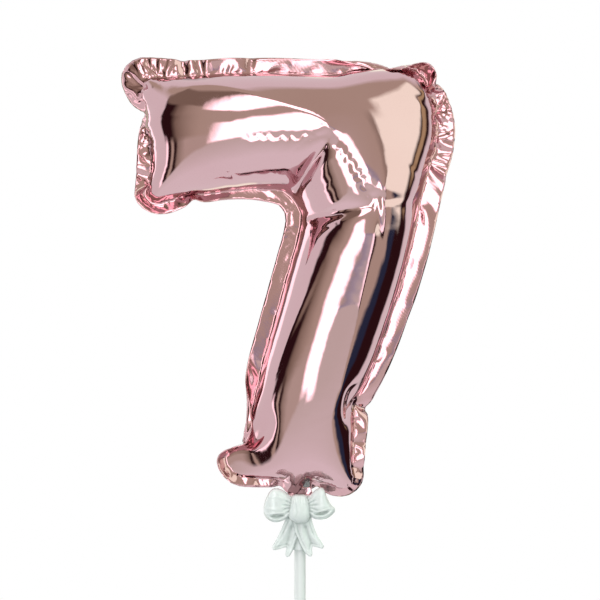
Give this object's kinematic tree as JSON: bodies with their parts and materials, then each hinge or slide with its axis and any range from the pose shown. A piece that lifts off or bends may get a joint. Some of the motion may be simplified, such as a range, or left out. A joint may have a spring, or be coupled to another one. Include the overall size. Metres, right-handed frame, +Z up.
{
  "type": "foil number balloon on stick",
  "caption": "Small air-filled foil balloon shaped as a numeral seven, its flat tail gripped by a moulded bow that turns on a hollow plastic stick.",
  "frame": {"origin": "on the stick's axis at its lower end", "axes": "+Z up the stick to the top of the number, +X to the viewer's right as the numeral reads, -Y towards the viewer"},
  "size_m": [0.1026, 0.0396, 0.2925],
  "materials": {
    "white_tube": "semi-gloss white extruded tube",
    "white_moulding": "gloss white moulding",
    "foil_front": "metallised rose-gold film, mirror bright",
    "foil_back": "metallised rose-gold film, mirror bright",
    "valve_film": "thin clear film"
  },
  "bodies": {
    "stick": {"stick": "white_tube"},
    "bow": {"bow": "white_moulding"},
    "tail": {"front_tail": "foil_front", "back_tail": "foil_back"},
    "balloon": {"front_film": "foil_front", "back_film": "foil_back", "valve_front_film": "valve_film", "valve_back_film": "valve_film"}
  },
  "joints": [
    {"name": "bow_turn", "type": "hinge", "parent": "stick", "child": "bow", "pos_m": [0, 0, 0.144], "axis": [0, 0, 1], "continuous": true},
    {"name": "tail_pull", "type": "slide", "parent": "bow", "child": "tail", "axis": [0, 0, 1], "range_m": [0, 0.006]},
    {"name": "balloon_nod", "type": "hinge", "parent": "tail", "child": "balloon", "pos_m": [0, 0, 0.1556], "axis": [1, 0, 0], "range_deg": [-20, 4], "stiffness_Nm_per_rad": 0.02}
  ]
}
